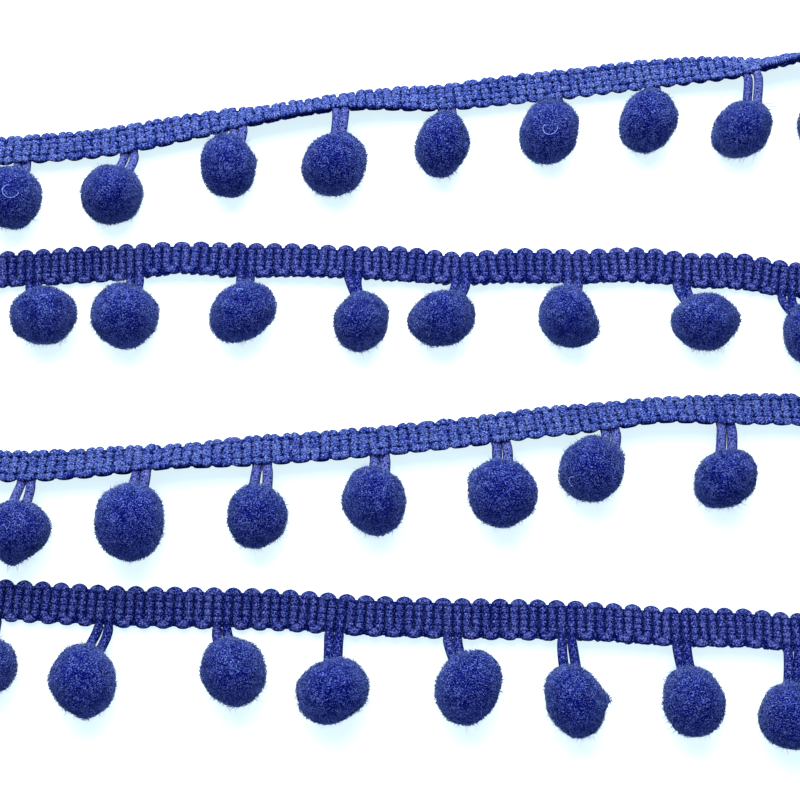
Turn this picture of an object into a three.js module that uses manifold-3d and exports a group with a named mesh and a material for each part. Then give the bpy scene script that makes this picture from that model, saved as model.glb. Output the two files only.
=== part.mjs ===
// Pom-pom trim: one cut length of scalloped braid with hanging pompoms, laid back and forth in four passes.
// Millimetres, +Z up. The trim lies on the plane Z = 0 with its pompoms towards -Y in every pass.
import * as THREE from "three";
import { mergeVertices } from "three/addons/utils/BufferGeometryUtils.js";
import Module from "manifold-3d";

// Braid band
const BAND_WIDTH = 6.4;
const BAND_THICKNESS = 1.8;
const BAND_EDGE_ROUND = 0.75;
const SCALLOP_DEPTH = 0.5;
const RIB_RELIEF = 0.25;
const RIBS_PER_POMPOM = 12;

// Hanger legs, two for each pompom
const LEG_WIDTH = 1.3;
const LEG_GAP = 0.3;
const LEG_RISE = 0.35;
const LEG_STEPS = 3;
const LEG_SINK = 2.2;

// Pompoms
const BALL_DETAIL = 1;
const BALL_SWELL = 1.03;
const BALL_LUMP = 0.03;
const BALL_LUMP_WAVES = [3.1, 3.7, 2.9];
const FLAT_SPOT = 0.86;
const LOCKS_PER_POMPOM = 7;
const LOCK_RADIUS = 0.75;
const LOCK_LENGTH = 1.5;
const LOCK_SINK = 0.6;
const LOCK_LOWEST_SLOPE = -0.3;
const LOCK_ROOT_SLOPE = 0.5;

// Curve samples between two rows of the route
const SAMPLES = 60;
const TURN_POINTS = 5;

// Each pass of the route has rows of [x, y, lean]. Lean is how far the pompom edge is raised, in degrees.
// The back of the braid is up in the passes to the right, and its front in the passes to the left.
const PASSES = [
  {
    heading: "right",
    rows: [
      [-74, 41.4, 22],
      [-65.7, 42, 18],
      [-49.4, 43.5, 14],
      [-33, 46.6, 23],
      [-21.5, 48.4, 43],
      [-11.6, 50.2, 45],
      [-3.3, 51.1, 34],
      [6.6, 51.6, 20],
      [16.6, 53, 10],
      [26.6, 54.2, 8],
      [40, 55.9, 10],
      [50.1, 56.7, 21],
      [56.8, 57, 35],
      [61.8, 57.5, 56],
      [66.9, 58.5, 60],
    ],
  },
  {
    heading: "left",
    rows: [
      [64.1, 19.6, 4],
      [54.6, 21.2, 3],
      [48.2, 21.2, 8],
      [38.6, 22.2, 9],
      [28.9, 21.9, 9],
      [19.3, 22.1, 8],
      [9.6, 21.5, 17],
      [0, 22.4, 6],
      [-6.4, 22.5, 17],
      [-16.1, 22.9, 14],
      [-25.7, 23, 8],
      [-35.4, 23.3, 18],
      [-45, 22.7, 2],
      [-54.6, 22.1, 0],
      [-64.2, 21.4, 5],
    ],
  },
  {
    heading: "right",
    rows: [
      [-61.9, -11.3, 26],
      [-52.7, -11.1, 26],
      [-43.4, -10.4, 34],
      [-34.1, -9.8, 43],
      [-24.8, -9, 28],
      [-6.2, -7.6, 26],
      [12.5, -5.6, 27],
      [21.8, -4.3, 24],
      [31.3, -3.4, 28],
      [40.7, -2.4, 37],
      [50.1, -2.2, 26],
      [59.5, -2.1, 19],
      [62.6, -2.2, 18],
    ],
  },
  {
    heading: "left",
    rows: [
      [60.6, -36.9, 20],
      [51.6, -36.2, 17],
      [42.5, -36.1, 16],
      [30.4, -35.3, 17],
      [18.2, -34.9, 7],
      [6.1, -34.7, 8],
      [-6.1, -34.3, 8],
      [-18.3, -33.4, 0],
      [-30.4, -33.1, 0],
      [-42.6, -32.9, 0],
      [-51.8, -32.4, 0],
      [-61, -31.9, 0],
      [-74, -31.6, 0],
    ],
  },
];

// Between two passes the braid turns on its plain edge along half an ellipse.
// Its rows are [centre x, centre y, reach x, reach y].
const TURNS = [
  [72.5, 38.6, 19, 20.5],
  [-68, 4.6, -15, 16.2],
  [64.5, -19.7, 14.5, 17.3],
];

// Pompoms in order along the braid, for each pass and then the turn after it.
// Their rows are [root x, x, y, long, short, turned], with turned in degrees.
// Root x is where the hanger leaves the braid. In a turn it is worked out, so it is null there.
const POMPOMS = [
  [
    [-62.3, -63.1, 32.6, 10.3, 10.3, 0],
    [-45.2, -46.7, 33.3, 10.2, 9.7, 36],
    [-26.9, -28, 38.2, 11.1, 8.9, 102],
    [-10.1, -10.6, 38.6, 11.1, 9.9, 46],
    [7.5, 6.9, 42.1, 10.9, 8.8, 78],
    [25.5, 24.4, 44.2, 11, 9.5, 69],
    [42, 40.6, 46.1, 11, 9.2, 61],
    [58.2, 56, 44.8, 10.5, 8.8, 35],
    [76.4, 70.1, 45.9, 10.2, 9.8, 0],
  ],
  [
    [null, 98, 53.5, 10, 9.6, 20],
    [null, 100, 28, 10.4, 9.8, 70],
    [null, 83, 10, 10.2, 9.4, 120],
  ],
  [
    [62.6, 65.3, 9.7, 10.4, 9.8, 90],
    [45.7, 48.1, 11.7, 10.4, 9.1, 0],
    [27.9, 26.5, 12.5, 10.6, 9, 111],
    [9.7, 6.8, 12.2, 10.7, 8.5, 22],
    [-7.4, -6.2, 11.8, 9.8, 8.8, 70],
    [-24.8, -24.9, 13.3, 10.9, 9, 36],
    [-43, -43.6, 12.5, 10.7, 10.4, 158],
    [-59.2, -56.4, 12.7, 10.4, 9.2, 8],
  ],
  [
    [null, -70.5, 9.7, 10, 9.4, 50],
    [null, -93.3, 3.6, 10.6, 9.8, 100],
    [null, -78.3, -19.6, 10.2, 9.6, 30],
  ],
  [
    [-57.8, -58.2, -21.8, 10.3, 9.7, 5],
    [-40, -41.1, -20.4, 11.9, 10.6, 90],
    [-21.5, -21.8, -19.5, 10, 9.3, 83],
    [-3.4, -3.9, -17.1, 10.8, 9.8, 112],
    [15.4, 15.6, -16, 11, 10.4, 145],
    [32.4, 29.5, -12.1, 10.4, 9.7, 58],
    [50.8, 49.9, -13.6, 10.4, 8.9, 36],
    [68.6, 67, -14.4, 9.8, 9.5, 0],
  ],
  [
    [null, 89, -14, 10.2, 9.8, 60],
    [null, 80.5, -41, 10.6, 9.4, 140],
  ],
  [
    [59, 57.5, -49.3, 10, 9.7, 0],
    [42.4, 43.3, -47.1, 10.6, 8.8, 102],
    [25.2, 25.8, -47, 10.9, 9.1, 110],
    [8, 10.1, -45.1, 11.2, 9.6, 64],
    [-9.7, -10, -45.7, 11.4, 9.6, 19],
    [-26.9, -24.7, -42.8, 10.4, 9.5, 115],
    [-44.8, -46.9, -44.2, 11.2, 10, 106],
    [-61.7, -61.6, -42, 9.5, 8.6, 0],
  ],
];

const UP = new THREE.Vector3(0, 0, 1);
const BRAID_BLUE = new THREE.MeshStandardMaterial({ color: 0x39478f, roughness: 0.75, metalness: 0 });
const POMPOM_BLUE = new THREE.MeshStandardMaterial({ color: 0x2f3a82, roughness: 0.9, metalness: 0 });

const wasm = await Module();
wasm.setup();

// The route's points hold the place in x and y and the braid's roll in z.
// Roll is 0 with the back up and the braid flat, 90 on its plain edge and 180 with the front up.
function routePoints() {
  const points = [];
  const starts = [];
  PASSES.forEach((pass, index) => {
    starts.push(points.length);
    for (const [x, y, lean] of pass.rows) {
      points.push(new THREE.Vector3(x, y, pass.heading === "right" ? lean : 180 - lean));
    }
    if (index === TURNS.length) {
      return;
    }
    const [centreX, centreY, reachX, reachY] = TURNS[index];
    const rollBefore = points.at(-1).z;
    const leanAfter = PASSES[index + 1].rows[0][2];
    const rollAfter = pass.heading === "right" ? 180 - leanAfter : leanAfter;
    starts.push(points.length);
    for (let step = 1; step <= TURN_POINTS; step += 1) {
      const share = step / (TURN_POINTS + 1);
      const angle = Math.PI * (0.5 - share);
      points.push(new THREE.Vector3(
        centreX + reachX * Math.cos(angle),
        centreY + reachY * Math.sin(angle),
        THREE.MathUtils.lerp(rollBefore, rollAfter, share),
      ));
    }
  });
  return { points, starts };
}

const { points: ROUTE_POINTS, starts: STRETCH_STARTS } = routePoints();
const ROUTE = new THREE.CatmullRomCurve3(ROUTE_POINTS, false, "centripetal")
  .getPoints((ROUTE_POINTS.length - 1) * SAMPLES);

// Length along the route, in plan, at each sample
const LENGTHS = [0];
for (let i = 1; i < ROUTE.length; i += 1) {
  LENGTHS.push(LENGTHS[i - 1] + Math.hypot(ROUTE[i].x - ROUTE[i - 1].x, ROUTE[i].y - ROUTE[i - 1].y));
}

// Length at which the route first crosses a given x after the start of a stretch
function lengthAtX(x, stretch) {
  for (let i = STRETCH_STARTS[stretch] * SAMPLES; i < ROUTE.length - 1; i += 1) {
    const share = (x - ROUTE[i].x) / (ROUTE[i + 1].x - ROUTE[i].x);
    if (share >= 0 && share < 1) {
      return THREE.MathUtils.lerp(LENGTHS[i], LENGTHS[i + 1], share);
    }
  }
  throw new Error(`the route doesn't reach x = ${x}`);
}

// Where each hanger leaves the braid: measured in the passes, evenly spaced in the turns
function rootLengths() {
  const lengthOf = (root, stretch) => root === null ? null : lengthAtX(root, stretch);
  const measured = POMPOMS.map((rows, stretch) => rows.map(([root]) => lengthOf(root, stretch)));
  return measured.flatMap((lengths, stretch) => {
    if (lengths[0] !== null) {
      return lengths;
    }
    const before = measured[stretch - 1].at(-1);
    const after = measured[stretch + 1][0];
    return lengths.map((_, i) => THREE.MathUtils.lerp(before, after, (i + 1) / (lengths.length + 1)));
  });
}

const ROOTS = rootLengths();

// Length along the route at a rib, counted from the first root, with the spacing of the nearest two roots
function lengthAtRib(rib) {
  const first = THREE.MathUtils.clamp(Math.floor(rib / RIBS_PER_POMPOM), 0, ROOTS.length - 2);
  return THREE.MathUtils.lerp(ROOTS[first], ROOTS[first + 1], rib / RIBS_PER_POMPOM - first);
}

// The braid's own axes at a length: along it, across it towards the pompoms, and out of its back
function frameAt(length) {
  const found = LENGTHS.findIndex((value) => value > length);
  const i = THREE.MathUtils.clamp((found < 0 ? ROUTE.length : found) - 1, 0, ROUTE.length - 2);
  const share = (length - LENGTHS[i]) / (LENGTHS[i + 1] - LENGTHS[i]);
  const here = ROUTE[i].clone().lerp(ROUTE[i + 1], share);
  const roll = THREE.MathUtils.degToRad(here.z);
  const along = ROUTE[i + 1].clone().sub(ROUTE[i]).setZ(0).normalize();
  const left = UP.clone().cross(along);
  const across = UP.clone().multiplyScalar(Math.sin(roll)).addScaledVector(left, -Math.cos(roll));
  const back = across.clone().cross(along);
  const lowest = Math.min(...section(0, 0).map(([w, n]) => w * across.z + n * back.z));
  return { centre: here.setZ(-lowest), along, across, back };
}

// Six points of the braid's section, as [across, out of the back].
// Each edge and the front face next to it can be drawn in, where the cord dips between two of its turns.
function section(plainDip, pompomDip) {
  const plain = -BAND_WIDTH / 2 + plainDip * SCALLOP_DEPTH;
  const pompom = BAND_WIDTH / 2 - pompomDip * SCALLOP_DEPTH;
  const half = BAND_THICKNESS / 2;
  return [
    [plain, 0],
    [plain + BAND_EDGE_ROUND, -half + plainDip * RIB_RELIEF],
    [pompom - BAND_EDGE_ROUND, -half + pompomDip * RIB_RELIEF],
    [pompom, 0],
    [pompom - BAND_EDGE_ROUND, half],
    [plain + BAND_EDGE_ROUND, half],
  ];
}

function bandPoint(frame, across, out) {
  return frame.centre.clone().addScaledVector(frame.across, across).addScaledVector(frame.back, out);
}

// A closed mesh with only positions and shared vertices
function weld(geometry) {
  geometry.deleteAttribute("normal");
  geometry.deleteAttribute("uv");
  return mergeVertices(geometry, 1e-5);
}

// The braid is a six-sided rod whose rings of points are laid on the stations of the route.
// There is one at each groove between two ribs. Even ones turn at the pompom edge, odd ones at the other.
function makeBraid() {
  const spare = RIBS_PER_POMPOM / 2;
  const firstRib = -spare;
  const stations = (ROOTS.length - 1) * RIBS_PER_POMPOM + 2 * spare;
  const sides = section(0, 0).length;
  const rod = weld(new THREE.CylinderGeometry(1, 1, stations, sides, stations));
  const place = rod.getAttribute("position");
  for (let i = 0; i < place.count; i += 1) {
    const station = Math.round(stations / 2 - place.getY(i));
    const rib = firstRib + station;
    const odd = Math.abs(rib % 2);
    const frame = frameAt(lengthAtRib(rib));
    const ring = section(1 - odd, odd);
    const onAxis = Math.hypot(place.getX(i), place.getZ(i)) < 0.5;
    const turn = Math.atan2(place.getX(i), place.getZ(i)) / (2 * Math.PI);
    const [across, out] = onAxis ? [0, 0] : ring[(Math.round(turn * sides) + sides) % sides];
    const point = bandPoint(frame, across, out);
    place.setXYZ(i, point.x, point.y, point.z);
  }
  const mesh = new THREE.Mesh(rod, BRAID_BLUE);
  mesh.name = "braid";
  return mesh;
}

function toSolid(geometry) {
  const merged = weld(geometry);
  return new wasm.Manifold(new wasm.Mesh({
    numProp: 3,
    vertProperties: new Float32Array(merged.getAttribute("position").array),
    triVerts: new Uint32Array(merged.index.array),
  }));
}

function toGeometry(solid) {
  const mesh = solid.getMesh();
  const geometry = new THREE.BufferGeometry();
  geometry.setAttribute("position", new THREE.BufferAttribute(mesh.vertProperties, 3));
  geometry.setIndex(new THREE.BufferAttribute(mesh.triVerts, 1));
  return geometry;
}

// A lumpy ball with a face of its icosahedron down, drawn level there so that it rests on a small flat spot
function ballGeometry(radii, turned, seed) {
  const ball = new THREE.IcosahedronGeometry(1, BALL_DETAIL);
  const faceDown = new THREE.Vector3(1, 1, 1).normalize();
  ball.applyQuaternion(new THREE.Quaternion().setFromUnitVectors(faceDown, UP.clone().negate()));
  ball.rotateZ(seed);
  const merged = weld(ball);
  const place = merged.getAttribute("position");
  const point = new THREE.Vector3();
  for (let i = 0; i < place.count; i += 1) {
    point.fromBufferAttribute(place, i);
    const phases = point.toArray().map((value, axis) => BALL_LUMP_WAVES[axis] * value + (axis + 1) * seed);
    const lump = phases.reduce((sum, phase) => sum + Math.sin(phase), 0);
    point.multiplyScalar(BALL_SWELL * (1 + BALL_LUMP * lump)).multiply(radii);
    point.z = Math.max(point.z, -FLAT_SPOT * radii.z);
    point.applyAxisAngle(UP, THREE.MathUtils.degToRad(turned));
    place.setXYZ(i, point.x, point.y, point.z);
  }
  return merged;
}

// Short three-sided locks that stand on faces of the ball, none of them under it or at the hanger
function lockGeometries(ball, towardsRoot) {
  const place = ball.getAttribute("position");
  const faces = [];
  for (let i = 0; i < ball.index.count; i += 3) {
    const corners = [i, i + 1, i + 2].map((k) => ball.index.getX(k));
    const triangle = new THREE.Triangle();
    triangle.setFromAttributeAndIndices(place, ...corners);
    const middle = triangle.getMidpoint(new THREE.Vector3());
    const normal = triangle.getNormal(new THREE.Vector3());
    if (normal.z > LOCK_LOWEST_SLOPE && normal.dot(towardsRoot) < LOCK_ROOT_SLOPE) {
      faces.push({ middle, normal });
    }
  }
  return Array.from({ length: LOCKS_PER_POMPOM }, (_, k) => {
    const { middle, normal } = faces[Math.floor((k + 0.5) * faces.length / LOCKS_PER_POMPOM)];
    const lock = new THREE.ConeGeometry(LOCK_RADIUS, LOCK_LENGTH, 3);
    lock.translate(0, LOCK_LENGTH / 2 - LOCK_SINK, 0);
    lock.applyQuaternion(new THREE.Quaternion().setFromUnitVectors(new THREE.Vector3(0, 1, 0), normal));
    return lock.translate(middle.x, middle.y, middle.z);
  });
}

// One leg of the hanger, from just off the braid's edge into the ball
function legGeometry(frame, target) {
  const start = bandPoint(frame, BAND_WIDTH / 2 + LEG_GAP, 0);
  const bend = start.clone().addScaledVector(frame.across, LEG_RISE * start.distanceTo(target));
  const half = LEG_WIDTH / 2;
  const square = new THREE.Shape([
    new THREE.Vector2(-half, -half),
    new THREE.Vector2(half, -half),
    new THREE.Vector2(half, half),
    new THREE.Vector2(-half, half),
  ]);
  const extrudePath = new THREE.QuadraticBezierCurve3(start, bend, target);
  return new THREE.ExtrudeGeometry(square, { extrudePath, steps: LEG_STEPS });
}

function makePompom([, x, y, long, short, turned], index) {
  const radii = new THREE.Vector3(long / 2, short / 2, (long + short) / 4);
  const centre = new THREE.Vector3(x, y, FLAT_SPOT * radii.z);
  const legFrames = [-0.5, 0.5].map((side) => frameAt(lengthAtRib(index * RIBS_PER_POMPOM + side)));
  const root = bandPoint(frameAt(ROOTS[index]), BAND_WIDTH / 2, 0);
  const towardsRoot = root.clone().sub(centre).normalize();
  const ball = ballGeometry(radii, turned, index);
  const locks = lockGeometries(ball, towardsRoot);
  let solid = toSolid(ball.clone());
  for (const lock of locks) {
    solid = solid.add(toSolid(lock));
  }
  solid = solid.translate(centre.toArray());
  for (const frame of legFrames) {
    const offset = frame.centre.clone().sub(frameAt(ROOTS[index]).centre).setZ(0).multiplyScalar(LEG_WIDTH);
    const target = centre.clone().addScaledVector(towardsRoot, LEG_SINK).add(offset);
    solid = solid.add(toSolid(legGeometry(frame, target)));
  }
  const mesh = new THREE.Mesh(toGeometry(solid), POMPOM_BLUE);
  mesh.name = `pompom_${String(index + 1).padStart(2, "0")}`;
  return mesh;
}

const trim = new THREE.Group();
trim.add(makeBraid());
POMPOMS.flat().forEach((row, index) => trim.add(makePompom(row, index)));

// The origin is under the middle of the trim's box
const middle = new THREE.Box3().setFromObject(trim).getCenter(new THREE.Vector3());
trim.position.set(-middle.x, -middle.y, 0);

export default trim;
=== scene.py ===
import math

import bmesh
import bpy
import numpy as np
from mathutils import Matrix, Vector


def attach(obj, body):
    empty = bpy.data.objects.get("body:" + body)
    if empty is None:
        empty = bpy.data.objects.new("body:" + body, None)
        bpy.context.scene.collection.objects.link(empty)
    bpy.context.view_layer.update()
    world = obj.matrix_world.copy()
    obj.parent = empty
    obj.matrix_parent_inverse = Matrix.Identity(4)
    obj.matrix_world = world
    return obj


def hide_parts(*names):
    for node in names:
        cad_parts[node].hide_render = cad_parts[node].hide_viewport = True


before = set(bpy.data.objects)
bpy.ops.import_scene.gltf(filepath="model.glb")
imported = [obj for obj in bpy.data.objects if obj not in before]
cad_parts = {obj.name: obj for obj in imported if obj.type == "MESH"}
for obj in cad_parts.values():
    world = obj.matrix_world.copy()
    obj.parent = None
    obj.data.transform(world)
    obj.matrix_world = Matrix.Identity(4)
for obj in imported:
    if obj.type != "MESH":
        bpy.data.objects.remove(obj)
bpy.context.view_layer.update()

SEED = 41
RANDOM = np.random.default_rng(SEED)
UP = np.array([0.0, 0.0, 1.0])

# Braid band, as in the solids
BAND_WIDTH = 0.0064
BAND_THICKNESS = 0.0018
BAND_EDGE_ROUND = 0.00075
RIBS_PER_POMPOM = 12
SPARE_RIBS = 6
# How steeply the back faces up where it counts as wholly up
BACK_UP_FULL = 0.5

# Looped cord of the braid. Widths that are shares count in ribs.
CORD_OUT = -0.00026
CORD_HALF_WIDTH = 0.52
CORD_HALF_HEIGHT = 0.00054
CORD_SIDES = 8
CORD_TURN_STEPS = 4
CORD_TURN_DEPTH = {"pompom": 0.00036, "plain": 0.00055}
CORD_TURN_PROUD = {"pompom": 0.00002, "plain": 0.00020}
# The turns at the pompom edge are tucked in where the back of the braid is up.
CORD_TURN_TUCK = 0.00024
CORD_TURN_POINT = {"pompom": 0.75, "plain": 1.30}
CORD_WOBBLE = 0.00005
CORD_TONE = -1.26
CORD_TONE_SPREAD = 0.05
# The sides of the cord are painted darker: painted shade for the grooves between ribs.
CORD_SIDE_PAINTED_SHADE = 0.48
# The painted shade on the sides of the cord, which stands for the grooves between neighbours, fades where it
# leaves its neighbours, at the turns and in the legs.
FREE_SIDE_PAINTED_SHADE = 0.20
FREE_FROM = 0.0024
FREE_LENGTH = 0.0006
PINCH_DEPTH = 0.38
PINCH_LENGTH = 0.00017
PINCH_STEP = 0.0002
# Where a row of stitches pinches the cord, its colour is darker: painted shade in the pinch.
PINCH_PAINTED_SHADE = 1.3
KNOB_TAPER = 0.16
KNOB_FROM = 0.0021
KNOB_LENGTH = 0.0006

# Rows of chain stitches on the back of the braid, and the threads that tie its ribs on the front
STITCH_ROWS = np.array([-0.00198, -0.00094, 0.0001, 0.00114, 0.00218])
STITCH_OUT = 0.00052
STITCH_HALF_SIZE = np.array([0.54, 0.00069, 0.00036])
STITCH_SQUARENESS = 0.72
STITCH_SLANT = 14
STITCH_RISE = 8
STITCH_TONE = -1.19
# How far single stitches stray from an even row
STITCH_SIZE_SPREAD = 0.08
STITCH_ALONG_SPREAD = 0.05
STITCH_ACROSS_SPREAD = 0.00005
STITCH_OUT_SPREAD = 0.00003
STITCH_SLANT_SPREAD = 7
STITCH_RISE_SPREAD = 2
STITCH_TONE_SPREAD = 0.07
# Where the back is up, stitches of the outer rows lie on the cord's turns and follow their arcs.
EDGE_STITCH_SHIFT = 0.00018
EDGE_STITCH_INWARD = 0.10
EDGE_STITCH_WIDER = 1.05
EDGE_STITCH_SLANT = 24
WARP_OUT = 0.00016
WARP_TUCK = np.array([0, 0, 0, 0, 0.00022])
WARP_HALF_SIZE = (0.00064, 0.00022)
WARP_SIDES = 6
# The warp and tie threads are set darker than the stitches: painted shade in the gaps and grooves where they
# show.
WARP_PAINTED_SHADE_TONE = -1.56
TIE_OUT = -0.00030
TIE_HALF_SIZE = np.array([0.00040, 0.00013, 0.00014])
TIE_ACROSS_SPREAD = 0.00003
TIE_SLANT_SPREAD = 10

# Hanger legs. The two of a pair stand further apart where the back of the braid is up.
LEG_RISE = 0.24
LEG_SINK = 0.0022
LEG_SPREAD = {"right": 1.18, "left": 0.85}
LEG_FLARE = 0.9
LEG_HALF_WIDTH = 0.55
LEG_STEPS = 12
# Pairs that stand their own way, by pompom: their spread, and how far their ends lie towards +X.
LEG_PAIRS = {
    2: (1.50, -0.0004),
    4: (0.75, 0),
    8: (1.15, 0.0010),
    17: (0.30, 0.0007),
    19: (1.25, -0.0005),
    24: (1.50, -0.0009),
    26: (1.40, 0),
    29: (1.20, 0.0014),
    36: (1.30, 0),
    39: (1.25, 0),
    40: (1.40, -0.0010),
}

# Pompoms
FLAT_SPOT = 0.86
LUMP = 0.022
LUMP_WAVES = np.array([3.1, 3.7, 2.9])
FINE_LUMP = 0.010
FINE_LUMP_WAVES = np.array([8.3, 9.1, 7.7])
FINE_LUMP_PHASE = 5
# How far fibres are shaken from even spacing, as a share of it
SPACING_SHAKE = 0.6
CORE_FINENESS = 4
CORE_DEPTH = 0.00016
FELT_FIBRES = 1500
FELT_HALF_LENGTH = (0.00025, 0.00048)
FELT_HALF_WIDTH = (0.00005, 0.00010)
FELT_TILT = 22
FUZZ_FIBRES = 1300
FUZZ_ROOT = -0.00025
FUZZ_REACH = (0.00004, 0.00080)
FUZZ_RUN = (0.00025, 0.00080)
FUZZ_HALF_WIDTH = (0.000022, 0.000045)
# The higher this power, the fewer of the fuzz's fibres are long.
FUZZ_SHORTNESS = 2
# The fuzz stands out further in clumps.
CLUMP_WAVES = np.array([6.3, 5.7, 7.1])
CLUMP_PHASE = 9
CLUMP_SWAY = 0.45
CLUMP_MOST = 2.0
CORE_TONE = -3.00
FELT_TONE = -2.80
FELT_TONE_SPREAD = 0.26
# How much lighter a felted fibre is for each metre that it lies further out: painted shade, darker where a
# fibre lies deep in the pile.
FELT_DEPTH_PAINTED_SHADE = 3000
# The fuzz's colour is set lighter than the felt's, and lighter still towards its tips: painted light on the
# outermost fibres.
FUZZ_TONE = -2.46
FUZZ_TIP_PAINTED_LIGHT = -1.46
# How far each fibre faces its own way. The fuzz, which light passes through, also faces up.
FIBRE_FACING = 0.40
FUZZ_FACING_UP = 0.7
# Painted light: the pile is made paler from this height of a pompom down, over this span, for the light that
# reaches it from the bright table.
PAINTED_LIGHT_FROM = 0.6
PAINTED_LIGHT_SPAN = 0.9
PAINTED_LIGHT_CURVE = 1.2
PAINTED_LIGHT_TONE = 0.34
# The fuzz there is paler still as painted light, more at its tips. The loose hairs are paler in their own
# colour.
PALE_HAIR_AND_PAINTED_LIGHT_COLOUR = (0.22, 0.34, 0.95, 1)
FUZZ_PAINTED_LIGHT_ROOT = 0.45
FUZZ_PAINTED_LIGHT_TIP = 1.0
PALE_HAIR = 0.9

# Curve samples between two rows of the route
SAMPLES = 60
TURN_POINTS = 5
# The route's curve runs through x, y and the roll, which counts a millimetre for each degree.
ROLL_STEP = 0.001

# Each pass of the route has rows of [x, y, lean]. Lean is how far the pompom edge is raised, in degrees.
# The back of the braid is up in the passes to the right, and its front in the passes to the left.
PASSES = [
    ("right", [
        [-0.074, 0.0414, 22],
        [-0.0657, 0.042, 18],
        [-0.0494, 0.0435, 14],
        [-0.033, 0.0466, 23],
        [-0.0215, 0.0484, 43],
        [-0.0116, 0.0502, 45],
        [-0.0033, 0.0511, 34],
        [0.0066, 0.0516, 20],
        [0.0166, 0.053, 10],
        [0.0266, 0.0542, 8],
        [0.04, 0.0559, 10],
        [0.0501, 0.0567, 21],
        [0.0568, 0.057, 35],
        [0.0618, 0.0575, 56],
        [0.0669, 0.0585, 60],
    ]),
    ("left", [
        [0.0641, 0.0196, 4],
        [0.0546, 0.0212, 3],
        [0.0482, 0.0212, 8],
        [0.0386, 0.0222, 9],
        [0.0289, 0.0219, 9],
        [0.0193, 0.0221, 8],
        [0.0096, 0.0215, 17],
        [0, 0.0224, 6],
        [-0.0064, 0.0225, 17],
        [-0.0161, 0.0229, 14],
        [-0.0257, 0.023, 8],
        [-0.0354, 0.0233, 18],
        [-0.045, 0.0227, 2],
        [-0.0546, 0.0221, 0],
        [-0.0642, 0.0214, 5],
    ]),
    ("right", [
        [-0.0619, -0.0113, 26],
        [-0.0527, -0.0111, 26],
        [-0.0434, -0.0104, 34],
        [-0.0341, -0.0098, 43],
        [-0.0248, -0.009, 28],
        [-0.0062, -0.0076, 26],
        [0.0125, -0.0056, 27],
        [0.0218, -0.0043, 24],
        [0.0313, -0.0034, 28],
        [0.0407, -0.0024, 37],
        [0.0501, -0.0022, 26],
        [0.0595, -0.0021, 19],
        [0.0626, -0.0022, 18],
    ]),
    ("left", [
        [0.0606, -0.0369, 20],
        [0.0516, -0.0362, 17],
        [0.0425, -0.0361, 16],
        [0.0304, -0.0353, 17],
        [0.0182, -0.0349, 7],
        [0.0061, -0.0347, 8],
        [-0.0061, -0.0343, 8],
        [-0.0183, -0.0334, 0],
        [-0.0304, -0.0331, 0],
        [-0.0426, -0.0329, 0],
        [-0.0518, -0.0324, 0],
        [-0.061, -0.0319, 0],
        [-0.074, -0.0316, 0],
    ]),
]

# Between two passes the braid turns on its plain edge along half an ellipse.
# Its rows are [centre x, centre y, reach x, reach y].
TURNS = [
    [0.0725, 0.0386, 0.019, 0.0205],
    [-0.068, 0.0046, -0.015, 0.0162],
    [0.0645, -0.0197, 0.0145, 0.0173],
]

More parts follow.
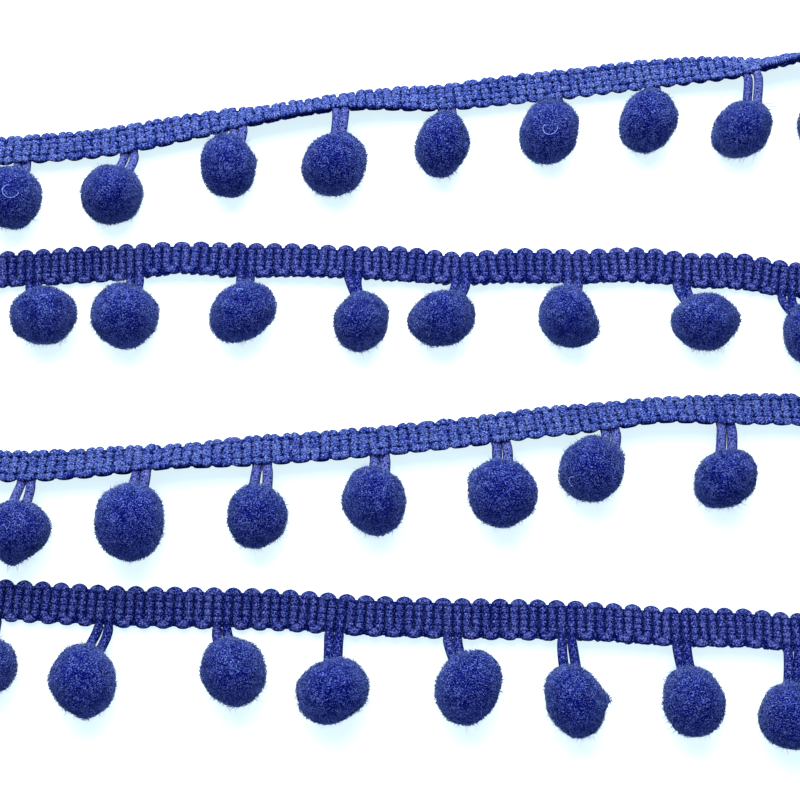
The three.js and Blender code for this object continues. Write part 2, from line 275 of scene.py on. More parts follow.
# Pompoms in order along the braid, for each pass and then the turn after it.
# Their rows are [root x, x, y, long, short, turned], with turned in degrees.
# Root x is where the hanger leaves the braid. In a turn it is worked out, so it is None there.
POMPOMS = [
    [
        [-0.0623, -0.0631, 0.0326, 0.0103, 0.0103, 0],
        [-0.0452, -0.0467, 0.0333, 0.0102, 0.0097, 36],
        [-0.0269, -0.028, 0.0382, 0.0111, 0.0089, 102],
        [-0.0101, -0.0106, 0.0386, 0.0111, 0.0099, 46],
        [0.0075, 0.0069, 0.0421, 0.0109, 0.0088, 78],
        [0.0255, 0.0244, 0.0442, 0.011, 0.0095, 69],
        [0.042, 0.0406, 0.0461, 0.011, 0.0092, 61],
        [0.0582, 0.056, 0.0448, 0.0105, 0.0088, 35],
        [0.0764, 0.0701, 0.0459, 0.0102, 0.0098, 0],
    ],
    [
        [None, 0.098, 0.0535, 0.01, 0.0096, 20],
        [None, 0.1, 0.028, 0.0104, 0.0098, 70],
        [None, 0.083, 0.01, 0.0102, 0.0094, 120],
    ],
    [
        [0.0626, 0.0653, 0.0097, 0.0104, 0.0098, 90],
        [0.0457, 0.0481, 0.0117, 0.0104, 0.0091, 0],
        [0.0279, 0.0265, 0.0125, 0.0106, 0.009, 111],
        [0.0097, 0.0068, 0.0122, 0.0107, 0.0085, 22],
        [-0.0074, -0.0062, 0.0118, 0.0098, 0.0088, 70],
        [-0.0248, -0.0249, 0.0133, 0.0109, 0.009, 36],
        [-0.043, -0.0436, 0.0125, 0.0107, 0.0104, 158],
        [-0.0592, -0.0564, 0.0127, 0.0104, 0.0092, 8],
    ],
    [
        [None, -0.0705, 0.0097, 0.01, 0.0094, 50],
        [None, -0.0933, 0.0036, 0.0106, 0.0098, 100],
        [None, -0.0783, -0.0196, 0.0102, 0.0096, 30],
    ],
    [
        [-0.0578, -0.0582, -0.0218, 0.0103, 0.0097, 5],
        [-0.04, -0.0411, -0.0204, 0.0119, 0.0106, 90],
        [-0.0215, -0.0218, -0.0195, 0.01, 0.0093, 83],
        [-0.0034, -0.0039, -0.0171, 0.0108, 0.0098, 112],
        [0.0154, 0.0156, -0.016, 0.011, 0.0104, 145],
        [0.0324, 0.0295, -0.0121, 0.0104, 0.0097, 58],
        [0.0508, 0.0499, -0.0136, 0.0104, 0.0089, 36],
        [0.0686, 0.067, -0.0144, 0.0098, 0.0095, 0],
    ],
    [
        [None, 0.089, -0.014, 0.0102, 0.0098, 60],
        [None, 0.0805, -0.041, 0.0106, 0.0094, 140],
    ],
    [
        [0.059, 0.0575, -0.0493, 0.01, 0.0097, 0],
        [0.0424, 0.0433, -0.0471, 0.0106, 0.0088, 102],
        [0.0252, 0.0258, -0.047, 0.0109, 0.0091, 110],
        [0.008, 0.0101, -0.0451, 0.0112, 0.0096, 64],
        [-0.0097, -0.01, -0.0457, 0.0114, 0.0096, 19],
        [-0.0269, -0.0247, -0.0428, 0.0104, 0.0095, 115],
        [-0.0448, -0.0469, -0.0442, 0.0112, 0.01, 106],
        [-0.0617, -0.0616, -0.042, 0.0095, 0.0086, 0],
    ],
]

# Tufts that stand out of a pompom's clipped pile, and dents in it where the height is below zero.
# Their rows are [pompom, towards, height, spread], with towards and spread in degrees in plan.
TUFTS = [
    [1, -105, -0.0004, 20],
    [2, 172, 0.0003, 20],
    [2, -75, -0.0003, 25],
    [3, 180, -0.0004, 20],
    [3, -40, -0.0003, 25],
    [3, 15, 0.0005, 12],
    [4, -78, -0.0004, 25],
    [4, 22, 0.0003, 18],
    [5, 8, 0.0004, 25],
    [5, -152, 0.0003, 20],
    [6, -88, -0.0006, 35],
    [6, -30, 0.0003, 15],
    [7, -92, 0.0006, 14],
    [7, 19, 0.0003, 8],
    [8, 62, 0.0005, 16],
    [14, 5, 0.0005, 16],
    [15, 25, -0.0004, 18],
    [15, -30, 0.0008, 25],
    [16, -172, 0.0006, 20],
    [16, -100, -0.0004, 30],
    [17, -130, -0.0004, 25],
    [17, 28, 0.0005, 20],
    [18, -15, 0.0003, 12],
    [18, -48, 0.0003, 12],
    [19, -145, -0.0004, 25],
    [19, -45, -0.0004, 25],
    [19, 15, 0.0004, 22],
    [20, -142, 0.0004, 16],
    [24, -32, -0.0007, 30],
    [24, -95, 0.0006, 18],
    [26, 22, -0.0003, 15],
    [27, -98, 0.0003, 14],
    [28, 150, 0.0006, 15],
    [28, -30, 0.0003, 14],
    [29, 28, 0.0007, 14],
    [29, -50, -0.0003, 25],
    [30, -165, -0.0004, 18],
    [30, -28, 0.0004, 18],
    [35, -30, -0.0005, 14],
    [35, 28, -0.0005, 16],
    [36, 2, 0.0009, 12],
    [36, 150, 0.0003, 15],
    [37, -108, -0.0003, 35],
    [38, -42, -0.0007, 22],
    [38, -165, -0.0004, 15],
    [39, -26, 0.0004, 16],
    [40, -86, 0.0004, 15],
    [40, -138, -0.0004, 35],
]

# Loose curled hairs on the pompoms.
# Their rows are [pompom, towards, slope, size, turned, sweep], in degrees and metres.
CURLS = [
    [1, 329, 73, 0.0026, 31, 250],
    [6, 248, 73, 0.0025, 162, 220],
    [8, 52, 10, 0.0035, 170, 40],
    [8, 56, 18, 0.0030, 150, 60],
    [8, 48, 4, 0.0026, 190, 30],
    [18, 92, 65, 0.0010, 200, 200],
    [29, 215, 40, 0.0014, 120, 200],
]
CURL_HALF_WIDTH = 0.000045
CURL_STEPS = 16
CURL_SIDES = 5
CURL_LIFT = 0.00012
# How far a hair rises and how wide it curls, as shares of its size
CURL_RISE = 0.32
CURL_GROW = (0.3, 0.6)
CURL_TONE = -2.24

# Camera above the trim, leaning to the front, at the raw route's origin
CAMERA_LENS = 65
CAMERA_SENSOR = 36
CAMERA_TILT = 15
CAMERA_DISTANCE = 0.22928
CAMERA_CLIP = (0.01, 10)

# The route is drawn about the point that the camera aims at. The solids stand about the middle of their box.
SHIFT = np.array([-0.0030332, -0.0030356, 0.0])

# Dyed colours, from deep between the filaments to the lightest of them.
# Their rows are (place on the ramp, colour).
DYED_CORD = [
    (0.10, (0.0004, 0.0016, 0.061)),
    (0.40, (0.0078, 0.0158, 0.113)),
    (0.72, (0.0293, 0.0445, 0.182)),
    (1.00, (0.080, 0.099, 0.278)),
]
DYED_THREAD = [
    (0.05, (0.0006, 0.0032, 0.095)),
    (0.40, (0.0115, 0.0252, 0.147)),
    (0.75, (0.0400, 0.0660, 0.208)),
    (1.00, (0.107, 0.145, 0.326)),
]
DYED_PILE = [
    (0.10, (0.0004, 0.0017, 0.077)),
    (0.45, (0.0064, 0.0122, 0.156)),
    (0.80, (0.0350, 0.0580, 0.278)),
    (1.00, (0.101, 0.146, 0.402)),
]

# Fine patterns of the surfaces. Strength is how far a pattern runs along its dye's ramp.
# Relief is how deep it is.
CORD_LOOP_SIZE = 0.00020
CORD_LOOP_CRIMP = 0.8
CORD_STRENGTH = 3.9
CORD_RELIEF = 0.00018
THREAD_FILAMENT = (0.00036, 0.00014, 1)
THREAD_LAY = 25
# Each stitch takes its filaments from a chance place within this reach.
PATTERN_REACH = 0.1
THREAD_STRENGTH = 3.3
THREAD_RELIEF = 0.00015
PILE_FLECK_SIZE = 0.00021
PILE_PATCH_SIZE = 0.0016
PILE_PATCH_WEIGHT = 0.25
PILE_COARSENESS = 0.6
PILE_STRENGTH = 5.2
PILE_RELIEF = 0.00032
YARN_FINISH = {"Roughness": 0.75, "Specular IOR Level": 0}
PILE_SHEEN = {"Sheen Weight": 0.36, "Sheen Roughness": 0.30, "Sheen Tint": (0.25, 0.40, 1.0, 1)}

# Table and light
FLOOR_HALF_SIZE = 1.5
FLOOR_FINISH = {
    "Base Color": (0.28, 0.31, 0.33, 1),
    "Emission Color": (0.79, 0.97, 1.0, 1),
    "Emission Strength": 0.83,
    "Roughness": 0.9,
}
LIGHT_PLACE = Vector((-0.03, 0.215, 0.20))
LIGHT_SIZE = 0.45
LIGHT_POWER = 4.65
LIGHT_COLOUR = (1.0, 0.95, 0.81)
ROOM_COLOUR = (0.75, 0.87, 1.22, 1)
ROOM_STRENGTH = 0.85


def unit(vectors):
    return vectors / np.linalg.norm(vectors, axis=-1, keepdims=True)


# Route


def route_rows():
    """Rows of x, y and roll along the whole braid, and the row at which each stretch starts."""
    rows = []
    starts = []
    for index, (heading, pass_rows) in enumerate(PASSES):
        starts.append(len(rows))
        rows += [[x, y, lean if heading == "right" else 180 - lean] for x, y, lean in pass_rows]
        if index == len(TURNS):
            break
        centre_x, centre_y, reach_x, reach_y = TURNS[index]
        roll_before = rows[-1][2]
        lean_after = PASSES[index + 1][1][0][2]
        roll_after = 180 - lean_after if heading == "right" else lean_after
        starts.append(len(rows))
        for step in range(1, TURN_POINTS + 1):
            share = step / (TURN_POINTS + 1)
            angle = math.pi * (0.5 - share)
            roll = roll_before + (roll_after - roll_before) * share
            rows.append([centre_x + reach_x * math.cos(angle), centre_y + reach_y * math.sin(angle), roll])
    return np.array(rows) * [1, 1, ROLL_STEP], starts


def smooth_curve(rows):
    """Points of the centripetal curve through the rows."""
    ends = np.vstack([2 * rows[0] - rows[1], rows, 2 * rows[-1] - rows[-2]])
    before, start, end, after = ends[:-3], ends[1:-2], ends[2:-1], ends[3:]
    gaps = np.sqrt(np.linalg.norm(np.diff(ends, axis=0), axis=1))[:, None]
    first, middle, last = gaps[:-2], gaps[1:-1], gaps[2:]
    leave = ((start - before) / first - (end - before) / (first + middle) + (end - start) / middle) * middle
    arrive = ((end - start) / middle - (after - start) / (middle + last) + (after - end) / last) * middle
    powers = [start, leave, 3 * (end - start) - 2 * leave - arrive, 2 * (start - end) + leave + arrive]
    shares = np.arange(SAMPLES) / SAMPLES
    curve = sum(power[:, None, :] * shares[None, :, None] ** k for k, power in enumerate(powers))
    return np.vstack([curve.reshape(-1, 3), rows[-1:]])


ROWS, STRETCH_STARTS = route_rows()
ROUTE = smooth_curve(ROWS)
STEPS = np.diff(ROUTE[:, :2], axis=0)
LENGTHS = np.concatenate([[0], np.cumsum(np.linalg.norm(STEPS, axis=1))])
HEADINGS = unit(np.gradient(ROUTE[:, :2], axis=0))


def length_at_x(x, stretch):
    """Length at which the route first crosses x after the start of a stretch."""
    start = STRETCH_STARTS[stretch] * SAMPLES
    beyond = np.sign(ROUTE[start:, 0] - x)
    i = start + int(np.argmax(beyond[1:] != beyond[:-1]))
    share = (x - ROUTE[i, 0]) / (ROUTE[i + 1, 0] - ROUTE[i, 0])
    return LENGTHS[i] + share * (LENGTHS[i + 1] - LENGTHS[i])


def root_lengths():
    """Where each hanger leaves the braid: measured in the passes, evenly spaced in the turns."""
    measured = [
        [None if row[0] is None else length_at_x(row[0], stretch) for row in rows]
        for stretch, rows in enumerate(POMPOMS)
    ]
    roots = []
    for stretch, lengths in enumerate(measured):
        if lengths[0] is None:
            before = measured[stretch - 1][-1]
            after = measured[stretch + 1][0]
            lengths = np.linspace(before, after, len(lengths) + 2)[1:-1]
        roots += list(lengths)
    return np.array(roots)


ROOTS = root_lengths()
LAST_ROOT_RIB = (len(ROOTS) - 1) * RIBS_PER_POMPOM
LAST_RIB = LAST_ROOT_RIB + SPARE_RIBS


def length_at_rib(rib):
    """Length along the route at a rib, counted from the first root and spaced evenly between roots."""
    rib = np.asarray(rib, float)
    first = np.clip(np.floor(rib / RIBS_PER_POMPOM).astype(int), 0, len(ROOTS) - 2)
    return ROOTS[first] + (ROOTS[first + 1] - ROOTS[first]) * (rib / RIBS_PER_POMPOM - first)


def rib_pitch(rib):
    rib = np.asarray(rib, float)
    return length_at_rib(rib + 0.5) - length_at_rib(rib - 0.5)


def band_axes(rib):
    """The braid's centre and axes at each rib: along it, across it to the pompoms, out of its back."""
    lengths = length_at_rib(np.atleast_1d(rib))
    x, y, roll = (np.interp(lengths, LENGTHS, ROUTE[:, k]) for k in range(3))
    along_x, along_y = (np.interp(lengths, LENGTHS, HEADINGS[:, k]) for k in range(2))
    along = unit(np.stack([along_x, along_y, np.zeros_like(along_x)], axis=1))
    roll = np.radians(roll / ROLL_STEP)[:, None]
    across = UP * np.sin(roll) - np.cross(UP, along) * np.cos(roll)
    back = np.cross(across, along)
    edge = BAND_WIDTH / 2 - BAND_EDGE_ROUND
    half = BAND_THICKNESS / 2
    corners = [(s * edge, t * half) for s in (-1, 1) for t in (-1, 1)]
    corners += [(-BAND_WIDTH / 2, 0), (BAND_WIDTH / 2, 0)]
    lowest = np.min([w * across[:, 2] + n * back[:, 2] for w, n in corners], axis=0)
    centre = np.stack([x, y, -lowest], axis=1)
    return centre, along, across, back


def back_up(rib):
    """How far the back of the braid is up at each rib, from none to one."""
    return np.clip(band_axes(rib)[3][:, 2] / BACK_UP_FULL, 0, 1)


def band_place(rib, across_by, out_by):
    """Points of the braid at a rib, a distance across it and a distance out of its back."""
    centre, _, across, back = band_axes(rib)
    return centre + across * np.reshape(across_by, (-1, 1)) + back * np.reshape(out_by, (-1, 1))


# Meshes from arrays


def add_attribute(mesh, name, values):
    """One number, or one direction, for each vertex, which the materials read."""
    kind, field = ("FLOAT", "value") if values.ndim == 1 else ("FLOAT_VECTOR", "vector")
    attribute = mesh.attributes.new(name, kind, "POINT")
    attribute.data.foreach_set(field, values.astype(np.float32).reshape(-1))


def new_piece(name, vertices, faces, material, nodes, attributes, unrolled=None):
    """A piece from joined arrays, which rides on the trim's one body and stands for the nodes."""
    mesh = bpy.data.meshes.new(name)
    placed = vertices + SHIFT
    placed[:, 2] = np.maximum(placed[:, 2], 0)
    mesh.from_pydata(placed.tolist(), [], [face for group in faces for face in group.tolist()])
    mesh.polygons.foreach_set("use_smooth", [True] * len(mesh.polygons))
    for label, values in attributes.items():
        add_attribute(mesh, label, values)
    if unrolled is not None:
        corners = np.concatenate([group.reshape(-1) for group in unrolled])
        mesh.uv_layers.new(name="unrolled").data.foreach_set("uv", corners.astype(np.float32))
    mesh.materials.append(material)
    mesh.validate()
    piece = bpy.data.objects.new(name, mesh)
    bpy.context.scene.collection.objects.link(piece)
    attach(piece, "root")
    if nodes:
        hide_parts(*nodes)


def shape_arrays(bm):
    """Vertices and triangles of a small bmesh shape."""
    bmesh.ops.triangulate(bm, faces=bm.faces[:])
    bmesh.ops.recalc_face_normals(bm, faces=bm.faces[:])
    bm.verts.index_update()
    vertices = np.array([vertex.co[:] for vertex in bm.verts])
    faces = np.array([[vertex.index for vertex in face.verts] for face in bm.faces])
    bm.free()
    return vertices, faces


def stitch_shape():
    """A rounded brick that fills the unit box."""
    bm = bmesh.new()
    bmesh.ops.create_uvsphere(bm, u_segments=8, v_segments=4, radius=1)
    vertices, faces = shape_arrays(bm)
    return np.sign(vertices) * np.abs(vertices) ** STITCH_SQUARENESS, faces


def tie_shape():
    bm = bmesh.new()
    bmesh.ops.create_uvsphere(bm, u_segments=4, v_segments=2, radius=1)
    return shape_arrays(bm)


def felt_shape():
    """A three-sided spindle of unit size along z."""
    bm = bmesh.new()
    bmesh.ops.create_uvsphere(bm, u_segments=3, v_segments=2, radius=1)
    return shape_arrays(bm)


def spike_shape():
    """A three-sided spike of unit radius from the origin up to a height of one."""
    bm = bmesh.new()
    bmesh.ops.create_cone(bm, cap_ends=True, segments=3, radius1=1, radius2=0, depth=1)
    bmesh.ops.remove_doubles(bm, verts=bm.verts[:], dist=0.001)
    bmesh.ops.translate(bm, verts=bm.verts[:], vec=(0, 0, 0.5))
    return shape_arrays(bm)


def repeated(shape, places, axes):
    """The shape at every place, with its x, y and z laid along that place's three scaled axes."""
    vertices, faces = shape
    placed = places[:, None, :] + np.einsum("vk,nkc->nvc", vertices, axes)
    offsets = np.arange(len(places))[:, None, None] * len(vertices)
    return placed.reshape(-1, 3), (faces[None] + offsets).reshape(-1, 3)


def unrolled_corners(shape, axes):
    """Each repeated face's corners in the shape's own x and y, at a chance place of the pattern."""
    vertices, faces = shape
    sizes = np.linalg.norm(axes[:, :2], axis=2)
    starts = RANDOM.uniform(0, PATTERN_REACH, (len(axes), 2))
    corners = vertices[faces][None, :, :, :2] * sizes[:, None, None] + starts[:, None, None]
    return corners.reshape(-1, 3, 2)


def swept_tube(path, up, half_width, half_height, sides):
    """An oval tube along a path: its vertices, quads, end triangles and each quad's unrolled corners."""
    ahead = unit(np.gradient(path, axis=0))
    side = unit(np.cross(up, ahead))
    up = np.cross(ahead, side)
    turn = 2 * math.pi * np.arange(sides) / sides + math.pi / 2
    ring = side[:, None] * np.cos(turn)[:, None] * half_width[:, None, None]
    ring = ring + up[:, None] * np.sin(turn)[:, None] * half_height[:, None, None]
    vertices = (path[:, None] + ring).reshape(-1, 3)
    stations = np.arange(len(path) - 1)[:, None] * sides
    here = np.arange(sides)[None]
    following = (here + 1) % sides
    corners = [stations + here, stations + following, stations + sides + following, stations + sides + here]
    quads = np.stack(corners, axis=-1).reshape(-1, 4)
    fan = np.stack([np.zeros(sides - 2, int), np.arange(2, sides), np.arange(1, sides - 1)], axis=1)
    ends = np.vstack([fan, fan[:, ::-1] + (len(path) - 1) * sides])
    length = np.concatenate([[0], np.cumsum(np.linalg.norm(np.diff(path, axis=0), axis=1))])
    girth = 2 * math.pi * (half_width.mean() + half_height.mean()) / 2
    begin = np.broadcast_to(length[:-1, None], (len(path) - 1, sides))
    finish = np.broadcast_to(length[1:, None], (len(path) - 1, sides))
    low = np.broadcast_to(here / sides * girth, begin.shape)
    high = np.broadcast_to((here + 1) / sides * girth, begin.shape)
    unrolled = np.stack([begin, low, begin, high, finish, high, finish, low], axis=-1).reshape(-1, 4, 2)
    return vertices, quads, ends, unrolled


# Materials


def fresh_material(name, settings):
    """A new material's nodes, links and shader, with what is the same all over set on the shader."""
    material = bpy.data.materials.new(name)
    material.use_nodes = True
    nodes = material.node_tree.nodes
    shader = nodes["Principled BSDF"]
    for socket, value in settings.items():
        shader.inputs[socket].default_value = value
    return material, nodes, material.node_tree.links, shader


def read_attribute(nodes, name):
    attribute = nodes.new("ShaderNodeAttribute")
    attribute.attribute_name = name
    return attribute


def multiply_add(nodes, links, value, factor, added):
    """A node's output: the value times the factor, plus what is added."""
    node = nodes.new("ShaderNodeMath")
    node.operation = "MULTIPLY_ADD"
    node.inputs[1].default_value = factor
    links.new(value, node.inputs[0])
    links.new(added, node.inputs[2])
    return node.outputs["Value"]


def colour_ramp(nodes, stops):
    ramp = nodes.new("ShaderNodeValToRGB")
    elements = ramp.color_ramp.elements
    while len(elements) < len(stops):
        elements.new(0.5)
    for element, (position, colour) in zip(elements, stops):
        element.position = position
        element.color = (*colour, 1)
    return ramp


def toned_finish(nodes, links, shader, pattern, strength, stops, relief, normal=None):
    """Colour and relief from a pattern, with each thread a little lighter or darker than the next."""
    tone = read_attribute(nodes, "tone")
    ramp = colour_ramp(nodes, stops)
    links.new(multiply_add(nodes, links, pattern, strength, tone.outputs["Fac"]), ramp.inputs["Fac"])
    links.new(ramp.outputs["Color"], shader.inputs["Base Color"])
    bump = nodes.new("ShaderNodeBump")
    bump.inputs["Strength"].default_value = 1
    bump.inputs["Distance"].default_value = relief
    links.new(pattern, bump.inputs["Height"])
    if normal is not None:
        links.new(normal, bump.inputs["Normal"])
    links.new(bump.outputs["Normal"], shader.inputs["Normal"])
    return ramp


def knitted_cord_material():
    """Small crimped loops over a cord, read from the unrolled cord in metres."""
    material, nodes, links, shader = fresh_material("knitted_cord", YARN_FINISH)
    unrolled = nodes.new("ShaderNodeUVMap")
    unrolled.uv_map = "unrolled"
    loops = nodes.new("ShaderNodeTexNoise")
    loops.noise_dimensions = "2D"
    loops.inputs["Scale"].default_value = 1 / CORD_LOOP_SIZE
    loops.inputs["Detail"].default_value = 1
    loops.inputs["Distortion"].default_value = CORD_LOOP_CRIMP
    links.new(unrolled.outputs["UV"], loops.inputs["Vector"])
    toned_finish(nodes, links, shader, loops.outputs["Fac"], CORD_STRENGTH, DYED_CORD, CORD_RELIEF)
    return material


def spun_thread_material():
    """Filaments that run along each stitch, read from the unrolled stitch in metres."""
    material, nodes, links, shader = fresh_material("chain_thread", YARN_FINISH)
    unrolled = nodes.new("ShaderNodeUVMap")
    unrolled.uv_map = "unrolled"
    laid = nodes.new("ShaderNodeMapping")
    laid.vector_type = "TEXTURE"
    laid.inputs["Rotation"].default_value = (0, 0, math.radians(THREAD_LAY))
    laid.inputs["Scale"].default_value = THREAD_FILAMENT
    links.new(unrolled.outputs["UV"], laid.inputs["Vector"])
    filaments = nodes.new("ShaderNodeTexNoise")
    filaments.noise_dimensions = "2D"
    filaments.inputs["Scale"].default_value = 1
    filaments.inputs["Detail"].default_value = 1
    links.new(laid.outputs["Vector"], filaments.inputs["Vector"])
    toned_finish(nodes, links, shader, filaments.outputs["Fac"], THREAD_STRENGTH, DYED_THREAD, THREAD_RELIEF)
    return material


def felted_pile_material():
    """Felted fibres, flecked and mottled in their own place, and mixed towards a paler colour where marked:
    painted light low on the pompoms, and the loose hairs' own colour.
    """
    material, nodes, links, shader = fresh_material("felted_pile", {**YARN_FINISH, **PILE_SHEEN})
    place = nodes.new("ShaderNodeTexCoord")
    patterns = []
    for size in (PILE_PATCH_SIZE, PILE_FLECK_SIZE):
        pattern = nodes.new("ShaderNodeTexNoise")
        pattern.inputs["Scale"].default_value = 1 / size
        pattern.inputs["Detail"].default_value = 2
        pattern.inputs["Roughness"].default_value = PILE_COARSENESS
        links.new(place.outputs["Object"], pattern.inputs["Vector"])
        patterns.append(pattern.outputs["Fac"])
    mottle = multiply_add(nodes, links, patterns[0], PILE_PATCH_WEIGHT, patterns[1])
    normal = read_attribute(nodes, "outward").outputs["Vector"]
    ramp = toned_finish(nodes, links, shader, mottle, PILE_STRENGTH, DYED_PILE, PILE_RELIEF, normal)
    mixed = nodes.new("ShaderNodeMix")
    mixed.data_type = "RGBA"
    # The node's sockets for colours share their names with others, so they go by number.
    factor, dyed, pale_hair_and_painted_light = (mixed.inputs[i] for i in (0, 6, 7))
    links.new(read_attribute(nodes, "pale").outputs["Fac"], factor)
    links.new(ramp.outputs["Color"], dyed)
    pale_hair_and_painted_light.default_value = PALE_HAIR_AND_PAINTED_LIGHT_COLOUR
    links.new(mixed.outputs[2], shader.inputs["Base Color"])
    return material


# Braid


def quarter_turn(edge):
    """The cord from the top of a turn at one of the braid's edges: shares of a rib and depths."""
    turn = np.linspace(0, math.pi / 2, CORD_TURN_STEPS, endpoint=False)
    point = CORD_TURN_POINT[edge]
    return 0.5 * np.sin(turn) ** point, CORD_TURN_DEPTH[edge] * np.cos(turn) ** point


def straight_steps(first, last, heading):
    """Distances across the braid from one edge's turn to the other's, with three at each row of stitches."""
    rows = np.sort(heading * STITCH_ROWS)[::-1]
    steps = (rows[:, None] + PINCH_STEP * np.array([1, 0, -1])).reshape(-1)
    inside = steps[(steps < first - PINCH_STEP / 2) & (steps > PINCH_STEP / 2 - last)]
    return np.concatenate([[first], inside, [-last]])


def rib_places(rib):
    """One rib of the cord, as rib counts and distances across, with half a turn at both ends."""
    heading = 1 if rib % 2 == 0 else -1
    edges = ["pompom", "plain"] if rib % 2 == 0 else ["plain", "pompom"]
    half_width = CORD_HALF_WIDTH * rib_pitch(rib + 0.5)
    tuck = {"pompom": CORD_TURN_TUCK * back_up(rib)[0], "plain": 0}
    tips = [BAND_WIDTH / 2 + CORD_TURN_PROUD[edge] - tuck[edge] for edge in edges]
    first, last = (tip - half_width - CORD_TURN_DEPTH[edge] for tip, edge in zip(tips, edges))
    (first_counts, first_depths), (last_counts, last_depths) = (quarter_turn(e) for e in edges)
    straight = straight_steps(first, last, heading)
    counts = np.concatenate([first_counts, np.full(len(straight), 0.5), 1 - last_counts[:0:-1]])
    across = np.concatenate([first + first_depths, straight, -last - last_depths[:0:-1]])
    return rib + counts, heading * across


def pinch(across):
    """How much thinner the cord is where a row of stitches holds it, and at the knobs of the plain edge."""
    rows = np.exp(-((across[:, None] - STITCH_ROWS) / PINCH_LENGTH) ** 2)
    knob = np.clip((-across - KNOB_FROM) / KNOB_LENGTH, 0, 1)
    return 1 - PINCH_DEPTH * rows.sum(axis=1) - KNOB_TAPER * knob


def leg_path(index, side):
    """A hanger leg from the braid's pompom edge into the pompom, and the direction out of its back."""
    rib = index * RIBS_PER_POMPOM + side
    middle, along, across, _ = (a[0] for a in band_axes(rib))
    root_middle = band_axes(index * RIBS_PER_POMPOM)[0][0]
    start = band_place(rib, BAND_WIDTH / 2, CORD_OUT)[0]
    root = band_place(index * RIBS_PER_POMPOM, BAND_WIDTH / 2, 0)[0]
    pompom = BALLS[index]
    spread, sideways = LEG_PAIRS.get(index + 1, (LEG_SPREAD[pompom["heading"]], 0))
    aside = (middle - root_middle) * [spread, spread, 0] + [sideways, 0, 0]
    target = pompom["centre"] + unit(root - pompom["centre"]) * LEG_SINK + aside
    flare = (middle - root_middle) * (spread - 1) * LEG_FLARE
    bend = start + across * LEG_RISE * np.linalg.norm(target - start) + flare
    t = np.linspace(0, 1, LEG_STEPS)[:, None]
    path = (1 - t) ** 2 * start + 2 * t * (1 - t) * bend + t ** 2 * target
    ahead = unit(np.gradient(path, axis=0))
    return path, np.cross(ahead, along)


def leg_width(index):
    """Half widths along a leg, which plumps up once it is free of the braid."""
    return np.linspace(CORD_HALF_WIDTH, LEG_HALF_WIDTH, LEG_STEPS) * rib_pitch(index * RIBS_PER_POMPOM)


def leg_strand(index, side, tone):
    """A hanger leg's path, directions out, half widths and heights, tones and shares of being free."""
    path, ups = leg_path(index, side)
    heights = np.full(LEG_STEPS, CORD_HALF_HEIGHT)
    return path, ups, leg_width(index), heights, np.full(LEG_STEPS, tone), np.ones(LEG_STEPS)


def braid_strand(begin, finish):
    """What leg_strand gives, for the cord that runs to and fro across the braid between two ribs."""
    ribs = [rib_places(rib) for rib in range(begin, finish)]
    counts, across = (np.concatenate(part)[CORD_TURN_STEPS:1 - CORD_TURN_STEPS] for part in zip(*ribs))
    wobble = RANDOM.normal(0, CORD_WOBBLE, finish - begin)
    wobble = np.interp(counts, np.arange(begin, finish) + 0.5, wobble)
    path = band_place(counts, across, CORD_OUT + wobble)
    thin = pinch(across)
    tones = RANDOM.normal(0, CORD_TONE_SPREAD, finish - begin)
    tones = tones[np.clip(np.floor(counts).astype(int) - begin, 0, finish - begin - 1)]
    # Painted shade: the cord is darker where it is pinched.
    tones = tones - PINCH_PAINTED_SHADE * (1 - thin)
    free = np.clip((np.abs(across) - FREE_FROM) / FREE_LENGTH, 0, 1)
    half_width = CORD_HALF_WIDTH * rib_pitch(counts) * thin
    return path, band_axes(counts)[3], half_width, CORD_HALF_HEIGHT * thin, tones, free


def cord_strands():
    """The cord between two pompoms: out of one, to and fro across the braid, and into the next."""
    roots = [index * RIBS_PER_POMPOM for index in range(len(ROOTS))]
    for begin, finish in zip([-SPARE_RIBS] + roots, roots + [LAST_RIB]):
        strand = braid_strand(begin, finish)
        tones = strand[4]
        parts = [strand]
        if begin >= 0:
            leg = leg_strand(begin // RIBS_PER_POMPOM, 0.5, tones[0])
            parts.insert(0, [column[::-1] for column in leg])
        if finish <= LAST_ROOT_RIB:
            parts.append(leg_strand(finish // RIBS_PER_POMPOM, -0.5, tones[-1]))
        yield [np.concatenate(column) for column in zip(*parts)]


def joined_tubes(name, tubes, material, slot, nodes, tones, **attributes):
    """One piece from tubes, with a tone for each tube's vertices."""
    starts = np.cumsum([0] + [len(tube[0]) for tube in tubes])
    quads = np.vstack([tube[1] + start for tube, start in zip(tubes, starts)])
    ends = np.vstack([tube[2] + start for tube, start in zip(tubes, starts)])
    unrolled = [np.vstack([tube[3] for tube in tubes]), np.zeros((len(ends), 3, 2))]
    tones = np.concatenate([np.broadcast_to(tone, len(tube[0])) for tone, tube in zip(tones, tubes)])
    vertices = np.vstack([tube[0] for tube in tubes])
    new_piece(name, vertices, [quads, ends], material, nodes, {"tone": tones, **attributes}, unrolled)


def make_cord(material):
    """The looped cord and its hanger legs, with painted shade on the sides where it lies against its
    neighbours.
    """
    painted_shade_sides = np.sin(2 * math.pi * np.arange(CORD_SIDES) / CORD_SIDES) ** 2
    tubes, tones = [], []
    for path, ups, half_width, half_height, strand_tones, free in cord_strands():
        # Painted shade on the cord's sides, weaker where the cord is free of its neighbours.
        painted_side_shade = CORD_SIDE_PAINTED_SHADE + (FREE_SIDE_PAINTED_SHADE - CORD_SIDE_PAINTED_SHADE) * free
        tubes.append(swept_tube(path, ups, half_width, half_height, CORD_SIDES))
        tones.append((strand_tones[:, None] + CORD_TONE - painted_side_shade[:, None] * painted_shade_sides).reshape(-1))
    joined_tubes("braid_looped_cord", tubes, material, "braid_cord", ["braid"], tones)


